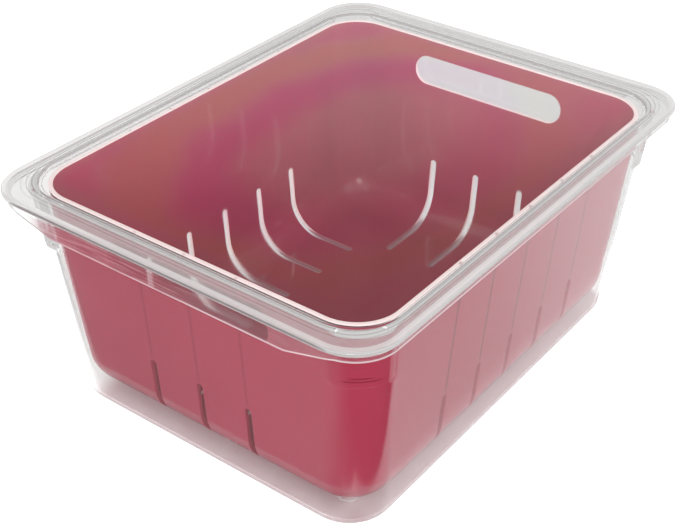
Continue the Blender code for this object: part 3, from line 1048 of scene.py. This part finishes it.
PIECES = (
    (build_bin, "bin", "outer_bin", "clear_plastic"),
    (build_basket, "basket", "basket", "raspberry_plastic"),
    (build_lid, "lid", "lid", "clear_plastic"),
)
LOOKS = {
    "outer_bin": [
        clear_plastic("clear_bin_plastic", BIN_TINT, lug_shade_lines, grip_painted_glow),
        clear_plastic("clear_bin_plastic_edge_glow", BIN_TINT, marked=lip_edge_glow),
    ],
    "basket": [
        raspberry_plastic("raspberry_plastic", *RASPBERRY),
        raspberry_plastic("raspberry_plastic_edge", *RASPBERRY, pale_lit_edge=RASPBERRY_PALE_LIT),
        raspberry_plastic("raspberry_plastic_shade", *RASPBERRY_SHADED, ior=SHADED_IOR),
    ],
    "lid": [clear_plastic("clear_lid_plastic", LID_TINT, stress_rings, lid_border_painted_light)],
}

for build, body, node, slot in PIECES:
    piece = build(LOOKS[node])
    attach(piece, body)
    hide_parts(node)


# ---------------------------------------------------------------- studio

def pale_floor():
    mesh = bpy.data.meshes.new("pale_floor")
    bm = bmesh.new()
    corners = ((-1, -1), (1, -1), (1, 1), (-1, 1))
    bm.faces.new([bm.verts.new((sx * TABLE_HALF, sy * TABLE_HALF, TABLE_Z)) for sx, sy in corners])
    bm.to_mesh(mesh)
    bm.free()
    floor = placed(bpy.data.objects.new("pale_floor", mesh), [table_material()])


def soft_light(name, at, aim, size, power, mirrored):
    """A rectangular lamp. Only a mirrored one shows as a highlight; the others just light matt surfaces."""
    lamp = bpy.data.lights.new(name, "AREA")
    lamp.shape = "RECTANGLE"
    lamp.size, lamp.size_y = size
    lamp.energy = power
    holder = bpy.data.objects.new(name, lamp)
    way = Vector(at) - Vector(aim)
    holder.matrix_world = Matrix.Translation(at) @ way.to_track_quat("Z", "Y").to_matrix().to_4x4()
    holder.visible_camera = False
    holder.visible_glossy = mirrored
    holder.visible_transmission = mirrored
    bpy.context.scene.collection.objects.link(holder)


def studio_world():
    """A room that is bright round the horizon and in front, dim behind and overhead."""
    world = bpy.data.worlds.new("studio")
    bpy.context.scene.world = world
    n = Nodes(world, "ShaderNodeOutputWorld")
    way = n.add("ShaderNodeTexCoord").outputs["Generated"]
    x, y, z = n.add("ShaderNodeSeparateXYZ", Vector=way).outputs[:]
    front = n.less(n.times(x, FRONT_WAY[0]), n.times(y, FRONT_WAY[1]))
    back = n.ramp(z, *BACK_RISE, WORLD_BACK_LOW, WORLD_BACK)
    front = n.ramp(front, *FRONT_FROM, back, WORLD_FRONT)
    level = n.colour(n.ramp(z, *HORIZON_RISE), (WORLD_HORIZON,) * 3 + (1.0,), front)
    level = n.colour(n.ramp(z, *TOP_RISE), level, (WORLD_TOP,) * 3 + (1.0,))
    room = n.add("ShaderNodeBackground", Color=level).outputs[0]
    plain = n.add("ShaderNodeBackground", Color=WHITE).outputs[0]
    seen = n.add("ShaderNodeLightPath").outputs["Is Camera Ray"]
    n.finished(n.mix(seen, room, plain))


def add_camera():
    """Looks down at the near corner, from the front right."""
    azimuth, elevation, roll = (math.radians(degrees) for degrees in CAMERA_TURN)
    back = Vector((
        math.sin(azimuth) * math.cos(elevation),
        -math.cos(azimuth) * math.cos(elevation),
        math.sin(elevation),
    ))
    right = Vector((0.0, 0.0, 1.0)).cross(back).normalized()
    up = back.cross(right)
    right, up = (
        right * math.cos(roll) + up * math.sin(roll),
        up * math.cos(roll) - right * math.sin(roll),
    )
    turn = Matrix((right, up, back)).transposed().to_4x4()
    lens = bpy.data.cameras.new("camera")
    lens.sensor_width = CAMERA_SENSOR
    lens.lens = CAMERA_LENS
    lens.clip_start, lens.clip_end = CAMERA_CLIP
    holder = bpy.data.objects.new("camera", lens)
    holder.matrix_world = Matrix.Translation(Vector(CAMERA_AIM) + back * CAMERA_DISTANCE) @ turn
    bpy.context.scene.collection.objects.link(holder)
    bpy.context.scene.camera = holder


pale_floor()
studio_world()
for lamp in LAMPS:
    soft_light(*lamp)
add_camera()

scene = bpy.context.scene
scene.view_settings.view_transform = "Standard"
scene.view_settings.look = "None"
scene.cycles.max_bounces = ALL_TURNS
scene.cycles.transmission_bounces = CLEAR_TURNS
scene.cycles.glossy_bounces = CLEAR_TURNS
scene.cycles.diffuse_bounces = MATT_TURNS
scene.cycles.transparent_max_bounces = CUT_OUT_TURNS
